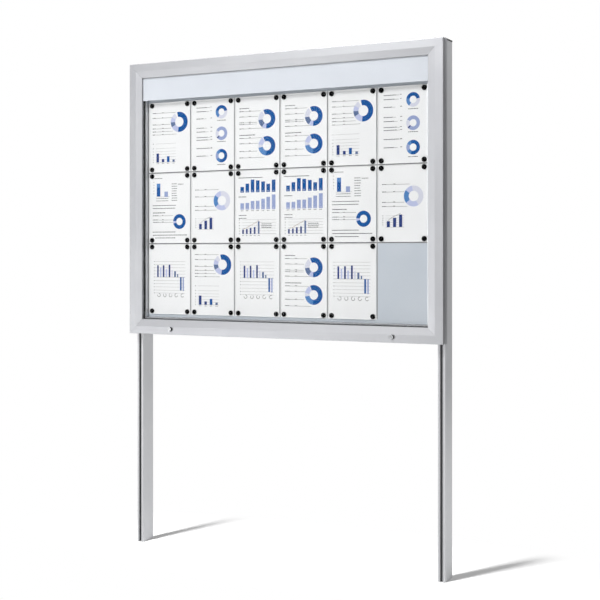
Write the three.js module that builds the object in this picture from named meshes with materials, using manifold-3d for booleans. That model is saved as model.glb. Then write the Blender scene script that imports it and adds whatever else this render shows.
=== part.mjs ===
import * as THREE from 'three';
import { mergeVertices } from 'three/addons/utils/BufferGeometryUtils.js';
import Module from 'manifold-3d';

const wasm = await Module();
wasm.setup();

// A lockable notice board on two posts, in millimetres.
// X runs to the viewer's right, Y away from the viewer and Z up from the ground.
// While the pieces are drawn, Y is 0 at the door's front face.

// Sheets on show: the board is made to hold them
const sheetWidth = 210;
const sheetHeight = 297;
const sheetThickness = 0.4;
const sheetColumns = 6;
const sheetRows = 3;
const emptyBays = 1;
const columnGap = 3.5;
const rowGap = 4.5;
const sideMargin = 2.75;
const bottomMargin = 13;
const topMargin = 8;
const magnetRadius = 10;
const magnetThickness = 4.2;
const magnetInsetX = 16;
const magnetInsetZ = 12;

// Fits
const fitGap = 0.3;
const cutOverrun = 1;
const roundSides = 16;
const smallRoundSides = 12;
const hexSides = 6;
const edgeSteps = 3;

// Door frame
const doorDepth = 20;
const doorBarWidth = 61;
const doorFlatWidth = 32;
const doorBevelDrop = 4.5;
const doorWall = 2;
const doorEdgeRadius = 1.5;
const glazingLip = 1.8;
const glazingBite = 10;
const glassThickness = 4;
const gasketWall = 1;
const gasketReveal = 1;
const headerHeight = 97;
const headerThickness = 2;

// Case
const sealGap = 5;
const sealWidth = 11;
const sealReveal = 4;
const caseDepth = 21;
const railWall = 2;
const railLip = 8;
const topRailLip = 26;
const channelWidth = 50;
const railReveal = 10;
const panelThickness = 1.5;
const panelBite = 13;

// Hinge along the top
const hingeInset = 60;
const hingeDrop = 2.6;
const knuckleCount = 13;
const knuckleGap = 0.4;
const hingePinRadius = 1.1;
const leafThickness = 1;
const leafHeight = 22;

// Locks
const lockFromSide = 207.5;
const lockHeight = 22.5;
const lockHeadRadius = 9.5;
const lockHeadLength = 8.5;
const lockHeadChamfer = 0.8;
const lockBarrelRadius = 8;
const lockNutRadius = 12.4;
const lockNutThickness = 3;
const plugRadius = 5.2;
const plugRecess = 0.6;
const keywayWidth = 1.6;
const keywayHeight = 6.5;
const keywayDepth = 6;
const camEndGap = 1.5;
const camWidth = 12;
const camThickness = 2.5;
const camClearance = 0.5;
const tailSize = 6;
const tailProud = 1.5;

// Gas struts
const strutLength = 330;
const strutReach = 80;
const strutFromSide = 40;
const strutDepth = 34;
const strutTubeRadius = 7.5;
const strutTubeWall = 1.5;
const strutTubeStart = 16;
const strutRodShow = 22;
const strutGuide = 4;
const strutRodRadius = 3;
const strutRodInside = 150;
const pistonLength = 8;
const strutNeckRadius = 4;
const strutEyeRadius = 7.5;
const rodEyeRadius = 6;
const strutEyeWidth = 8;
const strutPinRadius = 3;
const strutPinHeadRadius = 4.5;
const strutPinHead = 1.5;
const bracketPlate = 2.5;
const bracketBase = 1.5;
const bracketHeight = 24;
const bracketFootWidth = 17;
const bracketEdge = 6;
const pivotGap = 1;

// Posts
const groundClearance = 900;
const postWidth = 30;
const postDepth = 76;
const postInset = 8;
const postWall = 3;
const postWeb = 6;
const postEdgeRadius = 1.5;
const slotMouth = 10;
const slotWidth = 18;
const slotDepth = 8;
const capHeight = 6;
const capOverhang = 1;
const capPlugDepth = 20;

// Bolts that hold the case on the posts
const boltSpacing = 600;
const boltRadius = 4;
const boltHeadRadius = 7.5;
const boltHeadHeight = 5.3;
const boltProud = 1;
const slotBarThickness = 6;
const slotBarEnd = 25;

// Sizes that follow
const railWidth = doorBarWidth + railReveal;
const sheetsWide = sheetColumns * sheetWidth + (sheetColumns - 1) * columnGap;
const sheetsHigh = sheetRows * sheetHeight + (sheetRows - 1) * rowGap;
const boardWidth = sheetsWide + 2 * (sideMargin + railWidth);
const sheetsBottom = railWidth + bottomMargin;
const headerBottom = sheetsBottom + sheetsHigh + topMargin;
const boardHeight = headerBottom + headerHeight + doorBarWidth;
const halfWidth = boardWidth / 2;
const caseFront = doorDepth + sealGap;
const caseBack = caseFront + caseDepth;
const railFloor = caseBack - railWall;
const panelBack = railFloor - fitGap;
const panelFront = panelBack - panelThickness;
const panelEdge = railWidth - panelBite;
const boxWall = railWall + channelWidth;
const sealOuter = doorBarWidth + sealReveal - sealWidth;
const grooveFront = doorBevelDrop + glazingLip;
const gasketFront = grooveFront + fitGap;
const glassFront = gasketFront + gasketWall + fitGap;
const glassBack = glassFront + glassThickness;
const gasketBack = glassBack + fitGap + gasketWall;
const grooveBack = gasketBack + fitGap;
const grooveBottom = doorBarWidth - glazingBite;
const gasketOuter = grooveBottom + fitGap;
const gasketInner = doorBarWidth + gasketReveal;
const glassEdge = gasketOuter + gasketWall + fitGap;
const hingeY = doorDepth + sealGap / 2;
const hingeZ = boardHeight - hingeDrop;
const barrelRadius = sealGap / 2 - fitGap;
const camReach = lockHeight - railWall - camEndGap;
const postX = halfWidth - postInset - postWidth / 2;
const postFront = caseBack + fitGap;
const postCentreY = postFront + postDepth / 2;
const postHeight = groundClearance + boardHeight;
const slotFloor = postWall + slotDepth;
const boltFromSide = postInset + postWidth / 2;

const steel = { metalness: 1, roughness: 0.35 };
const finishes = {
  anodised: { color: 0xc9cdd1, metalness: 0.8, roughness: 0.4 },
  lacquer: { color: 0xb9c2cc, metalness: 0, roughness: 0.5 },
  headerWhite: { color: 0xe0e5ee, metalness: 0, roughness: 0.45 },
  glass: { color: 0xeaf2f2, metalness: 0, roughness: 0.05, transparent: true, opacity: 0.25 },
  rubber: { color: 0x1b1c1e, metalness: 0, roughness: 0.8 },
  blackPlastic: { color: 0x141516, metalness: 0, roughness: 0.5 },
  paper: { color: 0xf6f7f8, metalness: 0, roughness: 0.85 },
  chrome: { color: 0xd6d8da, ...steel },
  zinc: { color: 0x9fa4a8, ...steel },
  strutBlack: { color: 0x202224, metalness: 0.2, roughness: 0.45 },
};

// Solids from geometry and back

function solidOf(geometry) {
  const bare = geometry.clone();
  bare.deleteAttribute('normal');
  bare.deleteAttribute('uv');
  const merged = mergeVertices(bare);
  const mesh = new wasm.Mesh({
    numProp: 3,
    vertProperties: new Float32Array(merged.attributes.position.array),
    triVerts: new Uint32Array(merged.index.array),
  });
  return new wasm.Manifold(mesh);
}

function geometryOf(solid) {
  const { vertProperties, triVerts, numProp } = solid.getMesh();
  const points = [];
  for (let i = 0; i < vertProperties.length; i += numProp) {
    points.push(vertProperties[i], vertProperties[i + 1], vertProperties[i + 2]);
  }
  const geometry = new THREE.BufferGeometry();
  geometry.setAttribute('position', new THREE.Float32BufferAttribute(points, 3));
  geometry.setIndex([...triVerts]);
  geometry.computeVertexNormals();
  return geometry;
}

function join(...geometries) {
  return geometryOf(geometries.map(solidOf).reduce((sum, next) => sum.add(next)));
}

function cut(geometry, ...tools) {
  return geometryOf(tools.map(solidOf).reduce((sum, tool) => sum.subtract(tool), solidOf(geometry)));
}

// Basic shapes

function boxBetween(low, high) {
  const size = high.map((value, axis) => value - low[axis]);
  const centre = high.map((value, axis) => (value + low[axis]) / 2);
  return new THREE.BoxGeometry(...size).translate(...centre);
}

// A round bar along Y from front to back, centred on x and z
function barAlongY(radius, x, z, front, back, sides = roundSides) {
  return new THREE.CylinderGeometry(radius, radius, back - front, sides)
    .translate(x, (front + back) / 2, z);
}

// A round bar along X between two places, centred on y and z
function barAlongX(radius, y, z, left, right, sides = roundSides) {
  return new THREE.CylinderGeometry(radius, radius, right - left, sides)
    .rotateZ(Math.PI / 2)
    .translate((left + right) / 2, y, z);
}

// A round bar along Z between two heights, centred on x and y
function barAlongZ(radius, x, y, low, high, sides = roundSides) {
  return new THREE.CylinderGeometry(radius, radius, high - low, sides)
    .rotateX(Math.PI / 2)
    .translate(x, y, (low + high) / 2);
}

function rectangle(halfX, low, high) {
  return [[-halfX, low], [halfX, low], [halfX, high], [-halfX, high]];
}

function shapeOf(outline, holes = []) {
  const shape = new THREE.Shape(outline.map(([x, y]) => new THREE.Vector2(x, y)));
  shape.holes = holes.map((hole) => new THREE.Path(hole.map(([x, y]) => new THREE.Vector2(x, y))));
  return shape;
}

function extrude(shape, depth) {
  return new THREE.ExtrudeGeometry(shape, { depth, bevelEnabled: false });
}

// A plate in the XZ plane, drawn as x and z, from front to back along Y
function plateInXZ(outline, holes, front, back) {
  return extrude(shapeOf(outline, holes), back - front)
    .rotateX(Math.PI / 2)
    .translate(0, back, 0);
}

// Points of a quarter circle about a centre, from one angle to the next
function quarter(centreX, centreY, radius, startAngle) {
  return Array.from({ length: edgeSteps + 1 }, (_, step) => {
    const angle = startAngle + (Math.PI / 2) * (step / edgeSteps);
    return [centreX + radius * Math.cos(angle), centreY + radius * Math.sin(angle)];
  });
}

// A bar with 45 degree ends along X, its outer edge at Z 0.
// The section is drawn as distance inwards from that edge, and Y.
function mitredBar(length, outline, holes = []) {
  const geometry = extrude(shapeOf(outline, holes), length);
  const position = geometry.attributes.position;
  for (let i = 0; i < position.count; i += 1) {
    const inwards = position.getX(i);
    const end = position.getZ(i) > 0 ? -1 : 1;
    position.setXYZ(i, end * (length / 2 - inwards - fitGap / 2), position.getY(i), inwards);
  }
  geometry.computeVertexNormals();
  return geometry;
}

// The scene graph: the board's height starts at its lower edge

const noticeBoard = new THREE.Group();
noticeBoard.position.set(0, -postCentreY, 0);
const board = new THREE.Group();
board.position.set(0, 0, groundClearance);
noticeBoard.add(board);

function place(parent, name, geometry, finish, side = {}) {
  const mesh = new THREE.Mesh(geometry, new THREE.MeshStandardMaterial(finish));
  mesh.name = name;
  mesh.position.set(side.x ?? 0, 0, side.z ?? 0);
  mesh.rotation.set(0, side.turn ?? 0, 0);
  parent.add(mesh);
  return mesh;
}

// Where each side's bar goes: the bar is drawn along the lower edge
const sides = {
  bottom: { length: boardWidth },
  top: { length: boardWidth, z: boardHeight, turn: Math.PI },
  left: { length: boardHeight, x: -halfWidth, z: boardHeight / 2, turn: Math.PI / 2 },
  right: { length: boardHeight, x: halfWidth, z: boardHeight / 2, turn: -Math.PI / 2 },
};
const hands = { left: -1, right: 1 };

// Case rails: an outer channel open to the front, and an inner box that carries
// the seal in front and grips the panel behind

function railOutline(lip) {
  return [
    [0, caseFront],
    [lip, caseFront],
    [lip, caseFront + railWall],
    [railWall, caseFront + railWall],
    [railWall, railFloor],
    [boxWall, railFloor],
    [boxWall, caseFront],
    [railWidth, caseFront],
    [railWidth, panelFront - fitGap],
    [panelEdge - fitGap, panelFront - fitGap],
    [panelEdge - fitGap, railFloor],
    [railWidth, railFloor],
    [railWidth, caseBack],
    [0, caseBack],
  ];
}

const boxHollow = [
  [boxWall + railWall, caseFront + railWall],
  [railWidth - railWall, caseFront + railWall],
  [railWidth - railWall, panelFront - fitGap - railWall],
  [boxWall + railWall, panelFront - fitGap - railWall],
];

// Bolt holes through a side rail's rear wall, in the frame of the bar before it is turned
function boltHoles() {
  return [-1, 1].map((end) =>
    barAlongY(
      boltRadius + fitGap,
      (end * boltSpacing) / 2,
      boltFromSide,
      railFloor - cutOverrun,
      caseBack + cutOverrun,
    ),
  );
}

function addCase() {
  for (const [name, side] of Object.entries(sides)) {
    const lip = name === 'top' ? topRailLip : railLip;
    const rail = mitredBar(side.length, railOutline(lip), [boxHollow]);
    const drilled = name in hands ? cut(rail, ...boltHoles()) : rail;
    place(board, `case_${name}_rail`, drilled, finishes.anodised, side);
  }
  const panel = boxBetween(
    [panelEdge - halfWidth, panelFront, panelEdge],
    [halfWidth - panelEdge, panelBack, boardHeight - panelEdge],
  );
  place(board, 'back_panel', panel, finishes.lacquer);
  const seal = plateInXZ(
    rectangle(halfWidth - sealOuter, sealOuter, boardHeight - sealOuter),
    [
      rectangle(
        halfWidth - sealOuter - sealWidth,
        sealOuter + sealWidth,
        boardHeight - sealOuter - sealWidth,
      ),
    ],
    doorDepth + fitGap,
    caseFront - fitGap,
  );
  place(board, 'door_seal', seal, finishes.rubber);
}

// Door frame: mitred bars with a flat band, a bevel down to the glass and a glazing groove

function bevelDepth(inwards) {
  return (doorBevelDrop * (inwards - doorFlatWidth)) / (doorBarWidth - doorFlatWidth);
}

const doorOutline = [
  ...quarter(doorEdgeRadius, doorEdgeRadius, doorEdgeRadius, Math.PI),
  [doorFlatWidth, 0],
  [doorBarWidth, doorBevelDrop],
  [doorBarWidth, grooveFront],
  [grooveBottom, grooveFront],
  [grooveBottom, grooveBack],
  [doorBarWidth, grooveBack],
  [doorBarWidth, doorDepth],
  [0, doorDepth],
];

const doorHollow = [
  [doorWall, doorWall],
  [doorFlatWidth, doorWall],
  [grooveBottom - doorWall, doorWall + bevelDepth(grooveBottom - doorWall)],
  [grooveBottom - doorWall, doorDepth - doorWall],
  [doorWall, doorDepth - doorWall],
];

const lockPlaces = Object.entries(hands).map(([name, hand]) => ({
  name,
  x: hand * (halfWidth - lockFromSide),
}));

function addDoor() {
  for (const [name, side] of Object.entries(sides)) {
    const bar = mitredBar(side.length, doorOutline, [doorHollow]);
    const lockHoles = lockPlaces.map(({ x }) =>
      barAlongY(lockBarrelRadius + fitGap, x, lockHeight, -cutOverrun, doorDepth + cutOverrun),
    );
    const drilled = name === 'bottom' ? cut(bar, ...lockHoles) : bar;
    place(board, `door_${name}_bar`, drilled, finishes.anodised, side);
  }

  const glass = boxBetween(
    [glassEdge - halfWidth, glassFront, glassEdge],
    [halfWidth - glassEdge, glassBack, boardHeight - glassEdge],
  );
  place(board, 'glass_pane', glass, finishes.glass);

  const gasketRing = plateInXZ(
    rectangle(halfWidth - gasketOuter, gasketOuter, boardHeight - gasketOuter),
    [rectangle(halfWidth - gasketInner, gasketInner, boardHeight - gasketInner)],
    gasketFront,
    gasketBack,
  );
  const glassRoom = boxBetween(
    [glassEdge - fitGap - halfWidth, glassFront - fitGap, glassEdge - fitGap],
    [halfWidth - glassEdge + fitGap, glassBack + fitGap, boardHeight - glassEdge + fitGap],
  );
  place(board, 'glazing_gasket', cut(gasketRing, glassRoom), finishes.rubber);

  const headerEdge = gasketInner + fitGap;
  const header = boxBetween(
    [headerEdge - halfWidth, glassBack + fitGap, headerBottom],
    [halfWidth - headerEdge, glassBack + fitGap + headerThickness, boardHeight - headerEdge],
  );
  place(board, 'header_panel', header, finishes.headerWhite);
}

// Hinge: two leaves with knuckles in turn on one pin, in the gap between door and case

function hingeLeaf(leafFront, ownsFirst) {
  const length = boardWidth - 2 * hingeInset;
  const pitch = length / knuckleCount;
  const leafTop = hingeZ - barrelRadius - fitGap;
  const plate = boxBetween(
    [-length / 2, leafFront, hingeZ - leafHeight],
    [length / 2, leafFront + leafThickness, leafTop],
  );
  const pieces = [plate];
  for (let index = ownsFirst ? 0 : 1; index < knuckleCount; index += 2) {
    const left = -length / 2 + index * pitch + knuckleGap / 2;
    const right = left + pitch - knuckleGap;
    pieces.push(
      boxBetween([left, leafFront, leafTop - leafThickness], [right, leafFront + leafThickness, hingeZ]),
      barAlongX(barrelRadius, hingeY, hingeZ, left, right, smallRoundSides),
    );
  }
  const bore = barAlongX(
    hingePinRadius + fitGap,
    hingeY,
    hingeZ,
    -halfWidth,
    halfWidth,
    smallRoundSides,
  );
  return cut(join(...pieces), bore);
}

function addHinge() {
  const length = boardWidth - 2 * hingeInset;
  const caseLeafFront = caseFront - fitGap - leafThickness;
  place(board, 'hinge_case_leaf', hingeLeaf(caseLeafFront, true), finishes.zinc);
  place(board, 'hinge_door_leaf', hingeLeaf(doorDepth + fitGap, false), finishes.zinc);
  const pin = barAlongX(
    hingePinRadius,
    hingeY,
    hingeZ,
    -length / 2,
    length / 2,
    smallRoundSides,
  );
  place(board, 'hinge_pin', pin, finishes.zinc);
}

// Cylinder locks: a body clamped in the lower door bar, and a plug that turns a cam.
// The cam rests level, and turned down a quarter it goes behind the rail's front lip.

function lockBody(x) {
  const headFront = -fitGap - lockHeadLength;
  const head = new THREE.LatheGeometry(
    [
      [0, headFront],
      [lockHeadRadius - lockHeadChamfer, headFront],
      [lockHeadRadius, headFront + lockHeadChamfer],
      [lockHeadRadius, -fitGap],
      [lockBarrelRadius, -fitGap],
      [lockBarrelRadius, doorDepth + fitGap + lockNutThickness],
      [0, doorDepth + fitGap + lockNutThickness],
    ].map(([radius, y]) => new THREE.Vector2(radius, y)),
    roundSides,
  ).translate(x, 0, lockHeight);
  const bore = barAlongY(plugRadius + fitGap, x, lockHeight, -doorDepth, 2 * doorDepth);
  return cut(head, bore);
}

function lockPlug(x, camFront) {
  const front = plugRecess - fitGap - lockHeadLength;
  const plug = barAlongY(plugRadius, x, lockHeight, front, camFront - fitGap);
  const tail = boxBetween(
    [x - tailSize / 2, camFront - camThickness, lockHeight - tailSize / 2],
    [x + tailSize / 2, camFront + camThickness + tailProud, lockHeight + tailSize / 2],
  );
  const keyway = boxBetween(
    [x - keywayWidth / 2, front - cutOverrun, lockHeight - keywayHeight / 2],
    [x + keywayWidth / 2, front + keywayDepth, lockHeight + keywayHeight / 2],
  );
  return cut(join(plug, tail), keyway);
}

function lockCam(x, camFront) {
  const halfCam = camWidth / 2;
  const outline = [
    [-halfCam, -halfCam],
    [camReach, -halfCam],
    [camReach, halfCam],
    [-halfCam, halfCam],
  ];
  const halfHole = tailSize / 2 + fitGap;
  const hole = rectangle(halfHole, -halfHole, halfHole);
  return plateInXZ(outline, [hole], camFront, camFront + camThickness).translate(x, 0, lockHeight);
}

function addLocks() {
  const camFront = caseFront + railWall + camClearance;
  for (const { name, x } of lockPlaces) {
    place(board, `lock_${name}_body`, lockBody(x), finishes.chrome);
    const nutFront = doorDepth + fitGap;
    const nut = cut(
      barAlongY(lockNutRadius, x, lockHeight, nutFront, nutFront + lockNutThickness, hexSides),
      barAlongY(lockBarrelRadius + fitGap, x, lockHeight, 0, 2 * doorDepth),
    );
    place(board, `lock_${name}_nut`, nut, finishes.zinc);
    place(board, `lock_${name}_plug`, lockPlug(x, camFront), finishes.chrome);
    place(board, `lock_${name}_cam`, lockCam(x, camFront), finishes.zinc);
  }
}

// Gas struts in the side rails' channels: the tube turns on the case, and the rod's
// end stands beside the door's bracket

function strutTube(x, low) {
  const tubeLow = low + strutTubeStart;
  const tubeHigh = low + strutLength - strutRodShow;
  const bodyOfTube = join(
    barAlongX(strutEyeRadius, strutDepth, low, x - strutEyeWidth / 2, x + strutEyeWidth / 2),
    barAlongZ(strutNeckRadius, x, strutDepth, low + strutPinRadius + 2 * fitGap, tubeLow + strutTubeWall),
    barAlongZ(strutTubeRadius, x, strutDepth, tubeLow, tubeHigh),
  );
  const boreRadius = strutTubeRadius - strutTubeWall;
  return cut(
    bodyOfTube,
    barAlongX(strutPinRadius + fitGap, strutDepth, low, x - strutEyeWidth, x + strutEyeWidth),
    barAlongZ(boreRadius, x, strutDepth, tubeLow + 2 * strutTubeWall, tubeHigh - strutGuide),
    barAlongZ(strutRodRadius + fitGap, x, strutDepth, tubeHigh - 2 * strutGuide, tubeHigh + cutOverrun),
  );
}

function strutRod(x, low, inner) {
  const high = low + strutLength;
  const rodLow = high - strutRodShow - strutRodInside;
  const pistonRadius = strutTubeRadius - strutTubeWall - fitGap;
  const farSide = x - (inner * strutEyeWidth) / 2;
  const nearSide = x + inner * (strutEyeWidth / 2 + pivotGap - fitGap);
  return join(
    barAlongX(rodEyeRadius, strutDepth, high, x - strutEyeWidth / 2, x + strutEyeWidth / 2),
    barAlongX(strutPinRadius, strutDepth, high, Math.min(farSide, nearSide), Math.max(farSide, nearSide)),
    barAlongZ(strutRodRadius, x, strutDepth, rodLow, high - rodEyeRadius / 2),
    barAlongZ(pistonRadius, x, strutDepth, rodLow, rodLow + pistonLength),
  );
}

// The plate that stands beside an eye, on the side towards the middle of the board
function bracketSolids(x, z, inner, baseFace, plateFar, baseSide) {
  const plateNear = x + inner * (strutEyeWidth / 2 + pivotGap);
  const plateEnd = plateNear + inner * bracketPlate;
  const footEnd = plateEnd - inner * bracketFootWidth;
  const baseInner = baseFace + baseSide * bracketBase;
  const between = (values) => [Math.min(...values), Math.max(...values)];
  const [plateLeft, plateRight] = between([plateNear, plateEnd]);
  const [footLeft, footRight] = between([footEnd, plateEnd]);
  const [plateFront, plateBack] = between([baseFace, plateFar]);
  const [baseFront, baseBack] = between([baseFace, baseInner]);
  const halfHeight = bracketHeight / 2;
  return [
    boxBetween([plateLeft, plateFront, z - halfHeight], [plateRight, plateBack, z + halfHeight]),
    boxBetween([footLeft, baseFront, z - halfHeight], [footRight, baseBack, z + halfHeight]),
  ];
}

function caseBracket(x, z, inner) {
  const headFar = x - inner * (strutEyeWidth / 2 + fitGap + strutPinHead);
  const headNear = headFar + inner * strutPinHead;
  const plateSide = x + inner * (strutEyeWidth / 2 + pivotGap + bracketPlate / 2);
  const span = (a, b) => [Math.min(a, b), Math.max(a, b)];
  return join(
    ...bracketSolids(x, z, inner, railFloor - fitGap, strutDepth - bracketEdge, -1),
    barAlongX(strutPinRadius, strutDepth, z, ...span(headFar, plateSide)),
    barAlongX(strutPinHeadRadius, strutDepth, z, ...span(headFar, headNear)),
  );
}

function addStruts() {
  const doorPivotZ = hingeZ - strutReach;
  const casePivotZ = doorPivotZ - strutLength;
  for (const [name, hand] of Object.entries(hands)) {
    const x = hand * (halfWidth - strutFromSide);
    const inner = -hand;
    place(board, `strut_${name}_tube`, strutTube(x, casePivotZ), finishes.strutBlack);
    place(board, `strut_${name}_rod`, strutRod(x, casePivotZ, inner), finishes.chrome);
    place(board, `strut_${name}_case_bracket`, caseBracket(x, casePivotZ, inner), finishes.zinc);
    const doorBracket = join(
      ...bracketSolids(x, doorPivotZ, inner, doorDepth + fitGap, strutDepth + bracketEdge, 1),
    );
    place(board, `strut_${name}_door_bracket`, doorBracket, finishes.zinc);
  }
}

// Posts: a slotted profile behind each end of the case, with a cap on top

function postOutline(halfX, front, back, radius) {
  return [
    ...quarter(halfX - radius, back - radius, radius, 0),
    ...quarter(radius - halfX, back - radius, radius, Math.PI / 2),
    ...quarter(radius - halfX, front + radius, radius, Math.PI),
    [-slotMouth / 2, front],
    [-slotMouth / 2, front + postWall],
    [-slotWidth / 2, front + postWall],
    [-slotWidth / 2, front + slotFloor],
    [slotWidth / 2, front + slotFloor],
    [slotWidth / 2, front + postWall],
    [slotMouth / 2, front + postWall],
    [slotMouth / 2, front],
    ...quarter(halfX - radius, front + radius, radius, -Math.PI / 2),
  ];
}

function postHollows() {
  const halfX = postWidth / 2 - postWall;
  const webFront = postCentreY - postWeb / 2;
  const webBack = postCentreY + postWeb / 2;
  return [
    rectangle(halfX, postFront + slotFloor + postWall, webFront),
    rectangle(halfX, webBack, postFront + postDepth - postWall),
  ];
}

function postCap() {
  const halfX = postWidth / 2 + capOverhang;
  const lid = boxBetween(
    [-halfX, postFront, fitGap],
    [halfX, postFront + postDepth + capOverhang, capHeight],
  );
  const plugs = postHollows().map((hollow) =>
    boxBetween(
      [hollow[0][0] + fitGap, hollow[0][1] + fitGap, -capPlugDepth],
      [hollow[2][0] - fitGap, hollow[2][1] - fitGap, capHeight / 2],
    ),
  );
  return join(lid, ...plugs);
}

function addPosts() {
  const outline = postOutline(postWidth / 2, postFront, postFront + postDepth, postEdgeRadius);
  const boardMiddle = groundClearance + boardHeight / 2;
  const barFront = postFront + postWall + fitGap;
  const barBack = barFront + slotBarThickness;
  const barHalf = slotWidth / 2 - fitGap;
  const boltHeights = { lower: -boltSpacing / 2, upper: boltSpacing / 2 };
  for (const [name, hand] of Object.entries(hands)) {
    const x = hand * postX;
    const profile = extrude(shapeOf(outline, postHollows()), postHeight);
    place(noticeBoard, `post_${name}`, profile, finishes.anodised, { x });
    place(noticeBoard, `post_${name}_cap`, postCap(), finishes.blackPlastic, { x, z: postHeight });

    const barEnd = boltSpacing / 2 + slotBarEnd;
    const slotBar = cut(
      boxBetween([-barHalf, barFront, -barEnd], [barHalf, barBack, barEnd]),
      ...Object.values(boltHeights).map((z) =>
        barAlongY(boltRadius + fitGap, 0, z, barFront - cutOverrun, barBack + cutOverrun),
      ),
    );
    place(noticeBoard, `post_${name}_slot_bar`, slotBar, finishes.zinc, { x, z: boardMiddle });
    for (const [level, z] of Object.entries(boltHeights)) {
      const headBack = railFloor - fitGap;
      const bolt = join(
        barAlongY(boltHeadRadius, 0, 0, headBack - boltHeadHeight, headBack, hexSides),
        barAlongY(boltRadius, 0, 0, headBack - boltHeadHeight / 2, barBack + boltProud),
      );
      place(noticeBoard, `bolt_${name}_${level}`, bolt, finishes.zinc, { x, z: boardMiddle + z });
    }
  }
}

// Notices: each sheet with the four magnets that hold it

function noticeSolid() {
  const sheetBack = panelFront - fitGap;
  const sheetFront = sheetBack - sheetThickness;
  const halfX = sheetWidth / 2;
  const halfZ = sheetHeight / 2;
  const sheet = boxBetween([-halfX, sheetFront, -halfZ], [halfX, sheetBack, halfZ]);
  const magnets = [];
  for (const sideX of [-1, 1]) {
    for (const sideZ of [-1, 1]) {
      magnets.push(
        barAlongY(
          magnetRadius,
          sideX * (halfX - magnetInsetX),
          sideZ * (halfZ - magnetInsetZ),
          sheetFront - magnetThickness,
          sheetFront + sheetThickness / 2,
          smallRoundSides,
        ),
      );
    }
  }
  return join(sheet, ...magnets);
}

function addNotices() {
  const filled = sheetColumns * sheetRows - emptyBays;
  for (let index = 0; index < filled; index += 1) {
    const row = Math.floor(index / sheetColumns);
    const column = index % sheetColumns;
    const x = (column + 1 / 2) * sheetWidth + column * columnGap - sheetsWide / 2;
    const z = sheetsBottom + sheetsHigh - (row + 1 / 2) * sheetHeight - row * rowGap;
    place(board, `notice_row${row + 1}_${column + 1}`, noticeSolid(), finishes.paper, { x, z });
  }
}

addCase();
addDoor();
addHinge();
addLocks();
addStruts();
addPosts();
addNotices();

export default noticeBoard;
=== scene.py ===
import math

import bmesh
import bpy
import numpy as np
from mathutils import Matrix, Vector


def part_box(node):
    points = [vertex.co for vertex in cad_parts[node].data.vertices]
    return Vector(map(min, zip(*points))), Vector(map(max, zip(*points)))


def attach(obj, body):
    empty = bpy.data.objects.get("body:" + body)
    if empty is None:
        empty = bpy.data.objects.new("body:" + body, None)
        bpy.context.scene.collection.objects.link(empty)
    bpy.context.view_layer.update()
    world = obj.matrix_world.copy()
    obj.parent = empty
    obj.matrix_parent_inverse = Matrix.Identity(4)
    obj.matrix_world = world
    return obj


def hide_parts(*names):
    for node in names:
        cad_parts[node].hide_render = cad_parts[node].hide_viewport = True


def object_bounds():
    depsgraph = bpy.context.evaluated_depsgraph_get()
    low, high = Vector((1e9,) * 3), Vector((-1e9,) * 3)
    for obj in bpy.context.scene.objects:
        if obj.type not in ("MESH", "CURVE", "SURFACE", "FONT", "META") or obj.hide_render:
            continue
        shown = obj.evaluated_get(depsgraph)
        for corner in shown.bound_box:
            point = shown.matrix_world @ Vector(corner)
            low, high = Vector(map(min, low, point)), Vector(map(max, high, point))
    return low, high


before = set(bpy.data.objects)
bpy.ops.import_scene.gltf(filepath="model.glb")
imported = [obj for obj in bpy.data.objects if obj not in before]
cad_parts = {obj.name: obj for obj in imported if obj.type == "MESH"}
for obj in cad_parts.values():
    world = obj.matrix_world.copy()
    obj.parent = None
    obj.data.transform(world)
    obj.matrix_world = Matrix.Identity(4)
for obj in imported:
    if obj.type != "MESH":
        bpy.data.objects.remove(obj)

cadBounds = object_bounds()
mm = 0.001
sides = ("left", "right")


# places that the frame gives

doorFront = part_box("door_left_bar")[0].y
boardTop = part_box("door_top_bar")[1].z
boardLow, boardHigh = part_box("door_bottom_bar")
boardBottom, boardRight = boardLow.z, boardHigh.x
sheetNodes = sorted(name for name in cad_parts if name.startswith("notice_"))


def middleOf(low, high):
    return [(lowest + highest) / 2 for lowest, highest in zip(low, high)]


# helpers: objects and nodes

def addObject(name, data):
    added = bpy.data.objects.new(name, data)
    bpy.context.scene.collection.objects.link(added)
    return added


def feed(tree, node, values):
    # values: for each input's name or number, a constant or another node's output
    for name, value in values.items():
        if isinstance(value, bpy.types.NodeSocket):
            tree.links.new(value, node.inputs[name])
        else:
            node.inputs[name].default_value = value
    return node


def addNode(tree, kind, values):
    return feed(tree, tree.nodes.new(kind), values)


def calculate(tree, operation, *values, kind="ShaderNodeMath", result="Value"):
    node = addNode(tree, kind, dict(enumerate(values)))
    node.operation = operation
    return node.outputs[result]


def calculateVector(tree, operation, *values, result="Vector"):
    return calculate(tree, operation, *values, kind="ShaderNodeVectorMath", result=result)


def mapTo(tree, value, low, high, fromLow=0.0, fromHigh=1.0, interpolation="LINEAR"):
    # a value changed from one range to another, and clamped to it
    ranges = {"From Min": fromLow, "From Max": fromHigh, "To Min": low, "To Max": high}
    node = addNode(tree, "ShaderNodeMapRange", {"Value": value, **ranges})
    node.interpolation_type = interpolation
    return node.outputs["Result"]


def mixColors(tree, factor, first, second):
    mix = tree.nodes.new("ShaderNodeMix")
    mix.data_type = "RGBA"
    return feed(tree, mix, {"Factor": factor, "A": first, "B": second}).outputs["Result"]


def objectPlace(tree):
    return tree.nodes.new("ShaderNodeTexCoord").outputs["Object"]


def showMixed(tree, factor, first, second, output):
    # the surface is the first shader where the factor is 0 and the second where it is 1
    mix = addNode(tree, "ShaderNodeMixShader", {0: factor, 1: first.outputs[0], 2: second.outputs[0]})
    feed(tree, output, {"Surface": mix.outputs[0]})


def startFinish(name, settings):
    # settings: constants for the main shader's inputs
    material = bpy.data.materials.new(name)
    material.use_nodes = True
    tree = material.node_tree
    return material, tree, feed(tree, tree.nodes["Principled BSDF"], settings)


# camera: level, ahead of the board and to its right, with its picture shifted to show more below the horizon

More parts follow.
